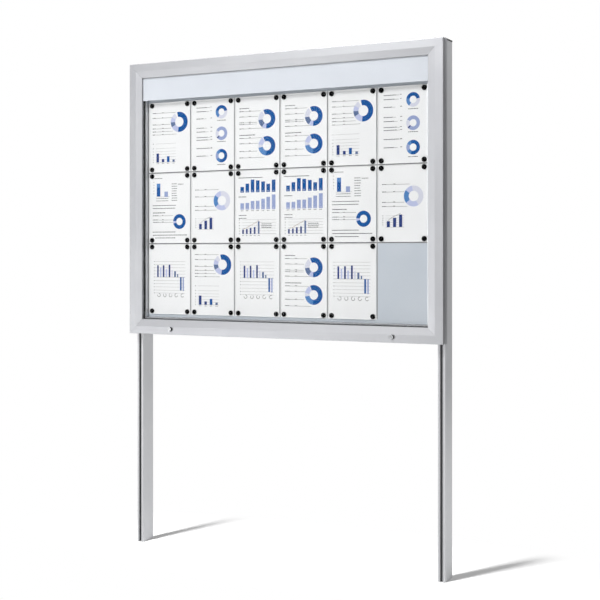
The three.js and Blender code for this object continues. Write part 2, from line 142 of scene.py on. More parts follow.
cameraPlace = {
    "turn": math.radians(27.51),
    "distance": 4.7167,  # along its axis to the door's front plane
    "aside": 0.1111,  # where that axis meets the door's front plane
    "aboveBoardEdge": 0.3383,
    "focalPixels": 1188.9,
    "horizonRow": 254.2,
    "frameSize": 600,
    "sensorWidth": 36,
}


def addCamera(place):
    data = bpy.data.cameras.new("camera")
    data.sensor_width = place["sensorWidth"]
    data.lens = data.sensor_width * place["focalPixels"] / place["frameSize"]
    data.shift_y = (place["horizonRow"] - place["frameSize"] / 2) / place["frameSize"]
    camera = addObject("camera", data)
    turn = place["turn"]
    camera.location = (
        place["aside"] + place["distance"] * math.sin(turn),
        doorFront - place["distance"] * math.cos(turn),
        boardBottom + place["aboveBoardEdge"],
    )
    camera.rotation_euler = (math.radians(90), 0, turn)
    bpy.context.scene.camera = camera


addCamera(cameraPlace)
print("camera placed")


# light: a soft key lamp ahead and to the left, three weak ones that the metal mirrors, one behind the board,
# one for the floor alone, and a white room

lamps = {
    "key": {"turn": -20.8, "rise": 39, "distance": 6.3, "size": (1.3, 1.8), "power": 182},
    "upright": {"turn": -27, "rise": 0, "distance": 6.6, "size": (0.9, 2.4), "power": 9.0},
    "low": {"turn": -30, "rise": -10, "distance": 6.9, "size": (3.4, 0.5), "power": 30.0},
    "right": {"turn": 14, "rise": 2, "distance": 6.5, "size": (1.0, 2.6), "power": 4.5},
    "back": {"turn": 138, "rise": 45, "distance": 5.0, "size": (2.0, 1.6), "power": 85},
}
floorLamp = {"turn": -20.8, "rise": 30, "distance": 6.5, "size": (0.8, 0.8), "power": 1150}
room = {"seen": 1.0, "light": 0.49}  # strength as the background shows, and as it lights the board
floorLook = {
    "color": 0.55,
    "bounce": 0.27,  # its colour for the light that it throws back on the board
    "size": 240.0,
    "drop": 0.0006,
    "zoneMiddle": (0.16, 0.12, 0),  # round the feet, where shadows stay; plain white outside it
    "zoneReach": (1.25, 0.42, 1),
    "zoneFade": (0.7, 1.3),  # shares of the reach between which it turns white
}
# grey cards that only reflections show; turn is from straight behind the board, and foot is how far aside
# the point is that it turns round, and how high the card starts
cards = {
    "shade_card": {"turn": 30, "distance": 4.0, "foot": (boardRight, 0), "size": (3.4, 3.2), "color": 0.14},
    "front_card": {"turn": 192.5, "distance": 6.0, "foot": (0, 0), "size": (1.8, 1.9), "color": 0.03},
    "side_card": {"turn": 247, "distance": 5.0, "foot": (0, 0), "size": (2.6, 2.2), "color": 0.2},
    "upper_card": {"turn": 207, "distance": 6.0, "foot": (0, 2.7), "size": (4.0, 2.0), "color": 0.62},
}
cardRoughness = 0.9


def addLamp(name, lamp, aim):
    turn, rise = math.radians(lamp["turn"]), math.radians(lamp["rise"])
    level = math.cos(rise)
    away = Vector((math.sin(turn) * level, -math.cos(turn) * level, math.sin(rise)))
    data = bpy.data.lights.new(name, "AREA")
    data.shape = "RECTANGLE"
    data.size, data.size_y = lamp["size"]
    data.energy = lamp["power"]
    lampObject = addObject(name, data)
    lampObject.location = aim + away * lamp["distance"]
    lampObject.rotation_euler = away.to_track_quat("Z", "Y").to_euler()
    return lampObject


def seenFactor(tree):
    # 1 for rays that show the background: camera, glossy and transmission rays
    rays = tree.nodes.new("ShaderNodeLightPath").outputs
    direct = calculate(tree, "MAXIMUM", rays["Is Camera Ray"], rays["Is Glossy Ray"])
    return calculate(tree, "MAXIMUM", direct, rays["Is Transmission Ray"])


def makeRoom():
    world = bpy.data.worlds.new("room")
    bpy.context.scene.world = world
    world.use_nodes = True
    tree = world.node_tree
    strength = mapTo(tree, seenFactor(tree), room["light"], room["seen"])
    feed(tree, tree.nodes["Background"], {"Color": (1, 1, 1, 1), "Strength": strength})


def addQuad(name, corners, material):
    mesh = bpy.data.meshes.new(name)
    mesh.from_pydata([tuple(corner) for corner in corners], [], [(0, 1, 2, 3)])
    mesh.materials.append(material)
    return addObject(name, mesh)


def makeFloor():
    # shows shadows in an oval zone round the feet, and is plain white outside it
    material = bpy.data.materials.new("floor_white")
    material.use_nodes = True
    tree = material.node_tree
    tree.nodes.clear()
    seen = seenFactor(tree)
    tone = mapTo(tree, seen, floorLook["bounce"], floorLook["color"])
    diffuse = addNode(tree, "ShaderNodeBsdfDiffuse", {"Color": tone})
    white = tree.nodes.new("ShaderNodeEmission")
    offset = calculateVector(tree, "SUBTRACT", objectPlace(tree), floorLook["zoneMiddle"])
    ratio = calculateVector(tree, "DIVIDE", offset, floorLook["zoneReach"])
    length = calculateVector(tree, "LENGTH", ratio, result="Value")
    outside = mapTo(tree, length, 0.0, 1.0, *floorLook["zoneFade"], "SMOOTHSTEP")
    share = calculate(tree, "MULTIPLY", outside, seen)
    showMixed(tree, share, diffuse, white, tree.nodes.new("ShaderNodeOutputMaterial"))
    half, z = floorLook["size"] / 2, cadBounds[0][2] - floorLook["drop"]
    corners = [(-half, -half, z), (half, -half, z), (half, half, z), (-half, half, z)]
    floor = addQuad("floor", corners, material)
    return floor


def makeCard(name, place):
    # an upright card that faces the board and is seen by glossy rays alone
    turn = math.radians(place["turn"])
    middle = Vector((math.sin(turn), math.cos(turn), 0)) * place["distance"]
    (aside, bottom), (width, height) = place["foot"], place["size"]
    middle += Vector((aside, 0, bottom))
    across = Vector((math.cos(turn), -math.sin(turn), 0)) * width / 2
    up = Vector((0, 0, height))
    look = {"Base Color": (*[place["color"]] * 3, 1), "Roughness": cardRoughness}
    corners = [middle - across, middle + across, middle + across + up, middle - across + up]
    card = addQuad(name, corners, startFinish(name, look)[0])
    card.visible_camera = card.visible_transmission = card.visible_shadow = card.visible_diffuse = False


def addLamps():
    board = Vector((0, doorFront, (boardBottom + boardTop) / 2))
    for name, lamp in lamps.items():
        addLamp(name, lamp, board)
    floorOnly = bpy.data.collections.new("floor_only")  # its lamp deepens the shadows of the posts' feet
    floorOnly.objects.link(makeFloor())
    addLamp("floor", floorLamp, Vector((0, 0, 0))).light_linking.receiver_collection = floorOnly


makeRoom()
addLamps()
for cardName, card in cards.items():
    makeCard(cardName, card)
bpy.context.scene.view_settings.view_transform = "Standard"
print("room and floor ready")


# shader groups: effects that several finishes share

# lines: noise drawn out along the bar, as an extrusion die leaves; cloud: slow unevenness of the anodising
dieLook = {
    "Lines": {"scale": 1.0, "detail": 3.0, "range": (0.3, 0.7), "stretched": True},
    "Cloud": {"scale": 3.5, "detail": 4.0, "range": (0.32, 0.68), "stretched": False},
}
# grain: fine even noise; smudge: broad soft patches
grainLook = {
    "Grain": {"scale": 1.0, "detail": 2.0, "range": (0.3, 0.7), "stretched": True},
    "Smudge": {"scale": 6.0, "detail": 5.0, "range": (0.35, 0.7), "stretched": False},
}
zeros, ones = (0, 0, 0), (1, 1, 1)


def newGroup(name, inputs, outputs):
    # inputs: each socket's value when nothing feeds it; outputs: names of single values
    group = bpy.data.node_groups.new(name, "ShaderNodeTree")
    for socketName, value in inputs.items():
        kind = "NodeSocketVector" if isinstance(value, tuple) else "NodeSocketFloat"
        group.interface.new_socket(socketName, in_out="INPUT", socket_type=kind).default_value = value
    for socketName in outputs:
        group.interface.new_socket(socketName, in_out="OUTPUT", socket_type="NodeSocketFloat")
    return group, group.nodes.new("NodeGroupInput").outputs, group.nodes.new("NodeGroupOutput")


def makeNoises(name, looks):
    # a noise from 0 to 1 for each output, stretched as the finish says or even
    group, start, end = newGroup(name, {"Vector": zeros, "Stretch": ones}, looks)
    for output, look in looks.items():
        stretch = start["Stretch"] if look["stretched"] else ones
        mapping = addNode(group, "ShaderNodeMapping", {"Vector": start["Vector"], "Scale": stretch})
        fineness = {"Scale": look["scale"], "Detail": look["detail"]}
        noise = addNode(group, "ShaderNodeTexNoise", {"Vector": mapping.outputs["Vector"], **fineness})
        feed(group, end, {output: mapTo(group, noise.outputs["Fac"], 0.0, 1.0, *look["range"])})
    return group


def makeBoxMask():
    # 1 inside a box given by its middle and half sizes, and inside its mirror image at the left;
    # outside, it falls to 0 over the blend
    inputs = {"Vector": zeros, "Middle": zeros, "Reach": ones, "Blend": 1.0}
    group, start, end = newGroup("boxMask", inputs, ["Mask"])
    place = addNode(group, "ShaderNodeSeparateXYZ", {0: start["Vector"]}).outputs
    mirrored = {"X": calculate(group, "ABSOLUTE", place["X"]), "Y": place["Y"], "Z": place["Z"]}
    joined = addNode(group, "ShaderNodeCombineXYZ", mirrored).outputs[0]
    offset = calculateVector(group, "SUBTRACT", joined, start["Middle"])
    past = calculateVector(group, "SUBTRACT", calculateVector(group, "ABSOLUTE", offset), start["Reach"])
    distances = addNode(group, "ShaderNodeSeparateXYZ", {0: past}).outputs
    falls = [mapTo(group, distances[axis], 1.0, 0.0, 0.0, start["Blend"]) for axis in "XYZ"]
    mask = calculate(group, "MULTIPLY", calculate(group, "MULTIPLY", falls[0], falls[1]), falls[2])
    feed(group, end, {"Mask": mask})
    return group


dieLines = makeNoises("dieLines", dieLook)
fineGrain = makeNoises("fineGrain", grainLook)
boxMask = makeBoxMask()


# finishes

def linear(red, green, blue):
    # colour as a screen shows it, 0 to 255, to the renderer's linear values, and opaque
    shares = np.array([red, green, blue]) / 255
    values = np.where(shares <= 0.04045, shares / 12.92, ((shares + 0.055) / 1.055) ** 2.4)
    return (*[float(value) for value in values], 1.0)


def placeGroup(tree, group, values):
    node = tree.nodes.new("ShaderNodeGroup")
    node.node_tree = group
    return feed(tree, node, {"Vector": objectPlace(tree), **values}).outputs


anodised = {
    "door": {"light": (191, 192, 195), "dark": (183, 184, 188), "metallic": 1.0},
    "case": {"light": (208, 209, 212), "dark": (201, 202, 206), "metallic": 1.0},
    "post": {"light": (220, 221, 223), "dark": (214, 215, 218), "metallic": 0.3},
    "roughness": (0.36, 0.48),
    "alongX": (2.5, 1100, 1100),
    "alongZ": (1100, 1100, 2.5),
    "lineDepth": 0.02 * mm,
    "lineStrength": 0.18,
}
# painted shade: greyer in the slot down a post's front, on the lower rail's inner edge and between the sheets
slotShade = {
    "tone": (128, 129, 132), "halfWidth": 10 * mm,
    "start": 1 * mm, "end": 12.5 * mm,  # behind the post's front
    "blend": 1.5 * mm,
}
# painted shade on the lower rail's inner edge
caseShade = {"tone": (136, 137, 140), "reach": 6.4 * mm, "blend": 0.6 * mm}
# painted shadow on the panel's front between the sheets
panelGapShade = {"tone": (146, 146, 147), "blend": 0.6 * mm, "depth": 0.3 * mm}

metal, coated, dull, matt, plain = (
    {"Metallic": 1.0}, {"Coat Weight": 0.3}, {"Specular IOR Level": 0.1}, {"Specular IOR Level": 0.04}, {}
)
# material, light and dark tone, roughness from and to, grain's fineness, depth in mm and strength, kind
grained = {
    "panel": ("panel_lacquer", (197, 203, 211), (191, 198, 207), (0.4, 0.5), 900, 0.01, 0.3, plain),
    "header": ("header_lacquer", (218, 222, 230), (214, 218, 226), (0.38, 0.46), 900, 0.01, 0.25, plain),
    "gasket": ("grey_rubber", (186, 188, 191), (172, 174, 178), (0.6, 0.8), 2500, 0.03, 0.5, plain),
    "rubber": ("black_rubber", (30, 31, 33), (38, 39, 41), (0.6, 0.8), 2500, 0.03, 0.5, plain),
    "capPlastic": ("black_plastic", (24, 25, 27), (32, 33, 35), (0.42, 0.55), 1800, 0.04, 0.5, plain),
    "magnetPlastic": ("magnet_black", (6, 6, 7), (9, 9, 10), (0.8, 0.9), 1500, 0.02, 0.3, matt),
    "paper": ("sheet_paper", (242, 242, 243), (239, 239, 240), (0.75, 0.85), 700, 0.03, 0.35, plain),
    "zinc": ("zinc_plate", (186, 190, 194), (168, 172, 178), (0.28, 0.42), 420, 0.01, 0.3, metal),
    "lockMetal": ("lock_chrome", (198, 200, 202), (190, 192, 194), (0.3, 0.38), 700, 0.005, 0.2, metal),
    # painted shade: the side of each lock's head is near black, for the dark crescent there
    "lockCollar": ("lock_collar", (12, 12, 13), (16, 16, 17), (0.5, 0.6), 1800, 0.02, 0.3, dull),
    "strutPaint": ("strut_paint", (34, 35, 37), (41, 42, 44), (0.3, 0.42), 900, 0.02, 0.3, coated),
    "keyway": ("keyway_shade", (12, 12, 13), (18, 18, 19), (0.5, 0.65), 900, 0.01, 0.2, dull),
}
glassLook = {
    "color": (0.985, 0.995, 0.99, 1),
    "refraction": 1.45,
    "gloss": (0.1, 0.1, 0.1, 1),
    "wipeMarks": (9, 9, 22),  # stretch of the noise
    "mostRoughness": 0.03,
}
inkLook = {
    "paperTone": (0.9, 0.9, 0.92, 1),
    "paperShare": 0.012,  # the most that shows through
    "roughness": (0.5, 0.65),
    "fineness": 2600,
}


def makeFinish(name, group, stretch, masks, light, dark, roughness, depth, strength, settings):
    # the group's first mask blends two tones, the second changes the gloss and the third lifts the surface
    material, tree, shader = startFinish(name, settings)
    outputs = placeGroup(tree, group, {"Stretch": stretch})
    tone, gloss, height = (outputs[mask] for mask in masks)
    bump = addNode(tree, "ShaderNodeBump", {"Distance": depth, "Strength": strength, "Height": height})
    color = mixColors(tree, tone, linear(*light), linear(*dark))
    gloss = mapTo(tree, gloss, *roughness)
    feed(tree, shader, {"Base Color": color, "Roughness": gloss, "Normal": bump.outputs["Normal"]})
    return material


def makeAnodised(name, part, direction):
    look = anodised[part]
    return makeFinish(
        name, dieLines, anodised[direction], ("Cloud", "Lines", "Lines"), look["light"], look["dark"],
        anodised["roughness"], anodised["lineDepth"], anodised["lineStrength"],
        {"Metallic": look["metallic"]},
    )


def makeGrained(name, light, dark, roughness, fineness, depth, strength, settings):
    return makeFinish(
        name, fineGrain, (fineness,) * 3, ("Smudge", "Smudge", "Grain"), light, dark,
        roughness, depth * mm, strength, settings,
    )


def toneWhere(material, factor, tone):
    # mixes a plain tone into the colour that is already there
    tree = material.node_tree
    shader = tree.nodes["Principled BSDF"]
    color = shader.inputs["Base Color"].links[0].from_socket
    feed(tree, shader, {"Base Color": mixColors(tree, factor, color, linear(*tone))})
    return material


def placeBox(material, middle, reach, blend):
    return placeGroup(material.node_tree, boxMask, {"Middle": middle, "Reach": reach, "Blend": blend})["Mask"]


def makePostMetal():
    # satin metal, with painted shade: darker inside the slot down each post's front, where shade falls
    low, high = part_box("post_right")
    middle, start, end = middleOf(low, high), low.y + slotShade["start"], low.y + slotShade["end"]
    middle[1] = (start + end) / 2
    material = makeAnodised("post_satin", "post", "alongZ")
    reach = (slotShade["halfWidth"], (end - start) / 2, high.z - low.z)
    return toneWhere(material, placeBox(material, middle, reach, slotShade["blend"]), slotShade["tone"])


def makeRailMetal():
    # as the other rails, with painted shade: greyer on the lower rail's inner edge, where shade falls in the
    # case
    low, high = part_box("case_bottom_rail")
    reveal = -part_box("case_left_rail")[1].x
    material = makeAnodised("case_anodised_x", "case", "alongX")
    reach = (reveal + caseShade["reach"], high.y - low.y, caseShade["reach"])
    mask = placeBox(material, (0, middleOf(low, high)[1], high.z), reach, caseShade["blend"])
    return toneWhere(material, mask, caseShade["tone"])


def repeatMask(tree, value, first, pitch, reach, blend):
    # 1 within reach of lines that repeat at the pitch, 0 past the blend: the distance to the nearest line is
    # the pitch times how far (value - first) / pitch is from a whole number
    steps = [
        ("SUBTRACT", first - pitch / 2), ("DIVIDE", pitch), ("FRACT",),
        ("SUBTRACT", 0.5), ("ABSOLUTE",), ("MULTIPLY", pitch),
    ]
    for operation, *number in steps:
        value = calculate(tree, operation, value, *number)
    return mapTo(tree, value, 1.0, 0.0, reach, reach + blend)


def makePanel():
    # pale lacquer with painted shade: a greyer line on its front between neighbouring sheets, for their
    # shadows
    material = makeGrained(*grained["panel"])
    tree = material.node_tree
    place = addNode(tree, "ShaderNodeSeparateXYZ", {0: objectPlace(tree)}).outputs
    low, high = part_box("notice_row2_1")
    beside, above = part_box("notice_row2_2")[0].x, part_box("notice_row1_1")[0].z
    pitchX, pitchZ, gapX, gapZ = beside - low.x, above - low.z, beside - high.x, above - high.z
    blend = panelGapShade["blend"]
    columns = repeatMask(tree, place["X"], high.x + gapX / 2, pitchX, gapX / 2, blend)
    rows = repeatMask(tree, place["Z"], high.z + gapZ / 2, pitchZ, gapZ / 2, blend)
    middle = (0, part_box("back_panel")[0].y, middleOf(low, high)[2])
    reach = (boardRight, panelGapShade["depth"], 1.5 * pitchZ - gapZ)  # as high as the three rows
    front = placeBox(material, middle, reach, blend)
    lines = calculate(tree, "MULTIPLY", calculate(tree, "MAXIMUM", columns, rows), front)
    return toneWhere(material, lines, panelGapShade["tone"])


def makeGlass():
    # clear glass that lets lamp light through, with faint marks where it has been wiped
    material, tree, shader = startFinish("clear_glass", {
        "Transmission Weight": 1.0, "IOR": glassLook["refraction"],
        "Base Color": glassLook["color"], "Specular Tint": glassLook["gloss"],
    })
    marks = placeGroup(tree, fineGrain, {"Stretch": glassLook["wipeMarks"]})["Smudge"]
    feed(tree, shader, {"Roughness": mapTo(tree, marks, 0.0, glassLook["mostRoughness"])})
    rays = tree.nodes.new("ShaderNodeLightPath").outputs
    through = calculate(tree, "MAXIMUM", rays["Is Shadow Ray"], rays["Is Diffuse Ray"])
    clear = tree.nodes.new("ShaderNodeBsdfTransparent")
    showMixed(tree, through, shader, clear, tree.nodes["Material Output"])
    return material


def makeInk():
    # colour comes from the print's own attribute, a little uneven as toner is
    material, tree, shader = startFinish("printed_ink", dull)
    ink = tree.nodes.new("ShaderNodeAttribute")
    ink.attribute_name = "ink"
    group = placeGroup(tree, fineGrain, {"Stretch": (inkLook["fineness"],) * 3})
    share = mapTo(tree, group["Grain"], 0.0, inkLook["paperShare"])
    color = mixColors(tree, share, ink.outputs["Color"], inkLook["paperTone"])
    gloss = mapTo(tree, group["Smudge"], *inkLook["roughness"])
    feed(tree, shader, {"Base Color": color, "Roughness": gloss})
    return material


finishes = {name: makeGrained(*look) for name, look in grained.items() if name != "panel"}
finishes |= {
    "doorAlongX": makeAnodised("door_anodised_x", "door", "alongX"),
    "doorAlongZ": makeAnodised("door_anodised_z", "door", "alongZ"),
    "caseAlongX": makeRailMetal(),
    "caseAlongZ": makeAnodised("case_anodised_z", "case", "alongZ"),
    "postMetal": makePostMetal(),
    "panel": makePanel(),
    "glass": makeGlass(),
    "ink": makeInk(),
}
# by the node's name without its side; bars and rails follow their direction, and what is left is zinc
nodeFinishes = {
    "back_panel": "panel",
    "door_seal": "rubber",
    "glass_pane": "glass",
    "glazing_gasket": "gasket",
    "header_panel": "header",
    "lock_body": "lockMetal",
    "lock_plug": "lockMetal",
    "post": "postMetal",
    "post_cap": "capPlastic",
    "strut_rod": "lockMetal",
    "strut_tube": "strutPaint",
}


def finishFor(nodeName):
    kind = nodeName.replace("_left", "").replace("_right", "")
    if kind in nodeFinishes:
        return nodeFinishes[kind]
    if nodeName in sheetNodes:
        return "paper"
    for part, ending in (("door", "_bar"), ("case", "_rail")):
        if nodeName.startswith(part) and nodeName.endswith(ending):
            return part + ("AlongX" if "_top_" in nodeName or "_bottom_" in nodeName else "AlongZ")
    return "zinc"


for nodeName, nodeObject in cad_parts.items():
    nodeObject.data.materials.clear()
    nodeObject.data.materials.append(finishes[finishFor(nodeName)])
print("finishes on", len(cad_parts), "nodes")


# surfaces: grids of points worked out as arrays

mergeWithin, sliverBelow = 0.002 * mm, 0.001 * mm


def gridFaces(rows, columns, closed):
    # four corners of each cell between neighbouring rows and columns;
    # closed joins the last column to the first
    row, column = np.mgrid[:rows - 1, :columns if closed else columns - 1]
    nextColumn = (column + 1) % columns
    corners = [row * columns + column, row * columns + nextColumn]
    corners += [(row + 1) * columns + nextColumn, (row + 1) * columns + column]
    return np.stack(corners, axis=-1).reshape(-1, 4)


def newMesh(name, parts, materials):
    # parts: list of (points, faces that number these points)
    points, faces, first = [], [], 0
    for ownPoints, ownFaces in parts:
        points.append(ownPoints)
        faces.append(ownFaces + first)
        first += len(ownPoints)
    mesh = bpy.data.meshes.new(name)
    mesh.from_pydata(np.concatenate(points).tolist(), [], np.concatenate(faces).tolist())
    for material in materials:
        mesh.materials.append(finishes[material])
    return mesh


def makeMesh(name, surfaces, materials, sharpAngle=35):
    # surfaces: list of (grid of points, closed, material index), joined into closed shells that face outwards
    parts, indices = [], []
    for grid, closed, index in surfaces:
        faces = gridFaces(*grid.shape[:2], closed)
        parts.append((grid.reshape(-1, 3), faces))
        indices.append(np.full(len(faces), index))
    mesh = newMesh(name, parts, materials)
    mesh.polygons.foreach_set("material_index", np.concatenate(indices).astype(np.int32))
    shell = bmesh.new()
    shell.from_mesh(mesh)
    bmesh.ops.remove_doubles(shell, verts=shell.verts, dist=mergeWithin)
    bmesh.ops.dissolve_degenerate(shell, edges=shell.edges, dist=sliverBelow)
    bmesh.ops.recalc_face_normals(shell, faces=shell.faces)
    shell.to_mesh(mesh)
    shell.free()
    mesh.polygons.foreach_set("use_smooth", np.ones(len(mesh.polygons), dtype=bool))
    mesh.set_sharp_from_angle(angle=math.radians(sharpAngle))
    return mesh


def addPiece(mesh, body, replaced):
    piece = addObject(mesh.name, mesh)
    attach(piece, body)
    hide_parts(replaced)


def turned(profile, centre, axis, segments, index=0):
    # a surface: a profile of (radius, place along the axis) carried round the axis in even steps
    profile = np.asarray(profile, float)
    angle = np.linspace(0, 2 * math.pi, segments, endpoint=False)
    radius, along = profile[:, 0, None], profile[:, 1, None]
    first, second = {"x": (1, 2), "y": (0, 2), "z": (0, 1)}[axis]
    grid = np.zeros((len(profile), segments, 3))
    grid[..., "xyz".index(axis)] = along
    grid[..., first] = centre[first] + radius * np.cos(angle)
    grid[..., second] = centre[second] + radius * np.sin(angle)
    return grid, True, index


def arc(across, along, radius, start, end, steps):
    # points of a rounded edge round (across, along), angles in degrees from the way across
    angle = np.radians(np.linspace(start, end, steps))
    return np.stack([across + radius * np.cos(angle), along + radius * np.sin(angle)], axis=1)


# notices: paper lifted a little between its magnets, printed charts and round magnets

sheet = {
    "thickness": 0.16 * mm,
    "rows": 45,
    "columns": 33,
    "lift": 4.0 * mm,
    "liftShare": (0.7, 1.0),  # an edge lifts by a share of the lift between these two
    "liftBand": 6 * mm,
    "bandSteps": 5,
    "liftRise": 0.09,  # share of an edge over which the lift grows from a corner
    "firstSeed": 300,
    "inkOffset": 0.05 * mm,
    "inkStep": 0.02 * mm,
}
magnet = {
    "radius": 10 * mm,
    "rim": 0.9 * mm,
    "rimSteps": 8,
    "dome": 0.25 * mm,
    "domeRings": (0.75, 0.5, 0.25, 0),  # shares of the radius inside the rim
    "fromSide": 16 * mm,
    "fromEnd": 12 * mm,
    "segments": 40,
}
inks = {
    "blue": (0, 80, 152),
    "navy": (36, 58, 122),
    "mid": (80, 130, 190),
    "slate": (90, 110, 150),
    "mauve": (150, 163, 204),
    "lavender": (188, 194, 226),
    "pale": (214, 215, 228),
    "text": (36, 37, 38),
    "bold": (26, 27, 30),
    "line": (84, 84, 84),
    "grid": (150, 150, 149),
    "trend": (140, 100, 84),
}
# drawing sizes in mm, angles in degrees; layers stand one above the other, from 0 at the paper
shapeLayer, wordLayer = 2, 3
dash = {"shortest": 3.0, "longest": 9.5, "gap": 1.3, "most": 40, "leastRoom": 2}
leaderLook = {
    "labelHeight": 2.6,
    "lineDrop": 0.8,
    "lineWeight": 1.2,
    "numberRise": 1.2,
    "numberPlace": (66, 75),
    "numberHeight": 1.8,
    "numberSeed": 7,
}
axisLabel = {"width": 4.5, "height": 2.0}
ringStep = 4  # degrees between a ring's corners, or a little more


def rectangles(lefts, rights, lows, highs):
    # the four corners of each level rectangle, in mm from the sheet's top left corner
    lefts, rights, lows, highs = np.broadcast_arrays(np.atleast_1d(lefts), rights, lows, highs)
    corners = [(lefts, lows), (rights, lows), (rights, highs), (lefts, highs)]
    return np.stack([np.stack(corner, axis=-1) for corner in corners], axis=-2)


def bars(lefts, tops, widths, foot, ink):
    # upright rectangles above or below one foot line
    rights = np.add(lefts, widths)
    return rectangles(lefts, rights, np.maximum(tops, foot), np.minimum(tops, foot)), ink, shapeLayer


def rules(downs, left, right, ink, weight, layer=0):
    # level lines across the sheet
    return rectangles(left, right, np.add(downs, weight / 2), np.subtract(downs, weight / 2)), ink, layer


def words(down, left, right, seed, height, ink="text", layer=wordLayer):
    # a line of dashes as long as words, which stands for text
    chance = np.random.default_rng(seed)
    lengths = chance.uniform(dash["shortest"], dash["longest"], dash["most"])
    starts = left + np.concatenate([[0], np.cumsum(lengths + dash["gap"])[:-1]])
    keep = starts < right - dash["leastRoom"]
    starts, ends = starts[keep], np.minimum(starts[keep] + lengths[keep], right)
    return rectangles(starts, ends, down + height / 2, down - height / 2), ink, layer


def wordList(downs, lefts, rights, seed, height, ink="text", layer=wordLayer):
    # several lines of words, each with the next seed; a place that they share is given once
    places = np.broadcast(downs, lefts, rights)
    return [words(*place, seed + i, height, ink, layer) for i, place in enumerate(places)]


def ringChart(centre, outer, inner, start, parts):
    # parts: (ink, end angle) in turn round a flat ring from the start angle, clockwise from the top
    pieces = []
    for ink, end in parts:
        angle = np.radians(np.linspace(start, end, int((end - start) / ringStep) + 1))
        way = np.stack([np.sin(angle), -np.cos(angle)], axis=1)
        outside, inside = centre + outer * way, centre + inner * way
        corners = [inside[:-1], inside[1:], outside[1:], outside[:-1]]
        pieces.append((np.stack(corners, axis=1), ink, shapeLayer))
        start = end
    return pieces


def stroke(points, weight, ink):
    # a line of given weight through points
    points = np.asarray(points, float)
    along = np.diff(points, axis=0)
    along /= np.linalg.norm(along, axis=1)[:, None]
    side = np.stack([-along[:, 1], along[:, 0]], axis=1) * weight / 2
    corners = [points[:-1] + side, points[1:] + side, points[1:] - side, points[:-1] - side]
    return np.stack(corners, axis=1), ink, wordLayer


def leaders(rows, seed, left=18, labelEnd=35):
    # for each (down, right): a label, a thin line from it towards the chart and a small number above the line
    look, marks = leaderLook, []
    for i, (down, right) in enumerate(rows, seed):
        above = down - look["numberRise"]
        marks += [
            words(down, left, labelEnd, i, look["labelHeight"]),
            rules(down + look["lineDrop"], labelEnd, right, "line", look["lineWeight"]),
            words(above, *look["numberPlace"], i + look["numberSeed"], look["numberHeight"]),
        ]
    return marks


def axisLabels(downs, left, seed):
    return wordList(downs, left, left + axisLabel["width"], seed, axisLabel["height"])


def ringAndBars():
    parts = [("blue", 188), ("lavender", 240), ("slate", 270), ("lavender", 300), ("pale", 330)]
    grid = [175, 195, 208, 220, 232, 243]
    return [
        *ringChart((153, 86), 42.5, 21, -15, parts),
        *leaders([(44, 135), (65, 118), (93, 106), (110, 112), (123, 120), (136, 140)], 11),
        rules(grid, 33, 136, "grid", 0.8),
        rules(254, 33, 136, "line", 0.9),
        *axisLabels([*grid, 253], 19, 30),
        bars([37.5, 65], [216, 240], [13, 12], 254, "navy"),
        bars(91, 229, 13, 254, "blue"),
        bars(119, 244, 11, 254, "slate"),
        *[words(259, left, left + 12, 50 + left, 1.8) for left in (38, 65, 91, 119)],
    ]


def threeRings():
    marks = [
        *ringChart((148, 55), 28, 14, -75, [("blue", 80), ("pale", 215), ("mid", 285)]),
        *ringChart((148, 144), 28, 14, -60, [("mauve", 220), ("navy", 235), ("pale", 300)]),
        *ringChart((148, 237), 28, 14, -20, [("blue", 200), ("mid", 240), ("mauve", 300), ("mid", 340)]),
        *wordList([90, 178, 273], 128, 170, 70, 2.4),
    ]
    lines = [(33, 92), (49, 88), (79, 74), (118, 78), (134, 84), (157, 94), (168, 94), (203, 104), (235, 84)]
    for i, (down, right) in enumerate(lines):
        marks += [words(down, 26, right - 14, 80 + i, 2.2), rules(down + 1, 26, right, "line", 1.1)]
        marks += [words(down - 1, 95, 103, 90 + i, 2.2)]
    return marks


def twoRings():
    lines = [(60, 120), (82, 107), (106, 105), (113, 105), (131, 138)]
    lines += [(170, 127), (192, 114), (224, 105), (250, 138)]
    upper = [("blue", 185), ("lavender", 215), ("slate", 265), ("pale", 325)]
    lower = [("blue", 185), ("mid", 260), ("pale", 282), ("lavender", 330)]
    return [
        *ringChart((150, 95), 39.5, 19, -25, upper),
        *ringChart((150, 205), 39.5, 19, -25, lower),
        words(48, 21, 66, 101, 2.8, "bold"),
        words(158, 21, 96, 102, 3.0, "bold"),
        *leaders(lines, 110, 21, 42),
    ]


def stackedBar():
    return [
        words(21, 27, 67, 131, 2.4),
        *axisLabels([36, 49, 61, 74, 86], 22, 132),
        rules(100, 33, 104, "line", 0.8),
        bars(39, 43, 18, 60, "mid"),
        bars(39, 60, 18, 98, "blue"),
        bars(78, 78, 18, 100, "mauve"),
        *wordList(range(46, 120, 10), 115, 142, 140, 2.4),
        words(48, 147, 174, 155, 2.4),
        *wordList([107, 117], 36, 98, 156, 2.2),
        *wordList([137, 149], 18, 135, 160, 2.6),
        words(168, 19, 81, 165, 3.2, "bold"),
        *leaders([(180, 122), (198, 122), (208, 122)], 170, 19, 48),
        *ringChart((154, 206), 31.5, 15.5, -85, [("blue", 255), ("lavender", 275)]),
        *wordList([250, 263, 275], [18, 19, 30], [135, 193, 136], 180, 2.8),
    ]


def paleRing():
    parts = [("pale", 150), ("lavender", 230), ("mid", 305), ("lavender", 350)]
    grid = [196, 205, 213, 222, 231]
    return [
        *ringChart((150, 122), 40, 20, -10, parts),
        *leaders([(75, 134), (104, 112), (144, 112), (160, 124)], 190, 19, 36),
        rules(grid, 33, 112, "grid", 0.7),
        rules(240, 33, 112, "line", 0.9),
        *axisLabels(grid, 20, 200),
        bars([39, 65, 90], [217, 204, 192], 13, 240, "navy"),
        stroke([(45, 214), (58, 204), (71, 198), (97, 187)], 1.2, "line"),
    ]


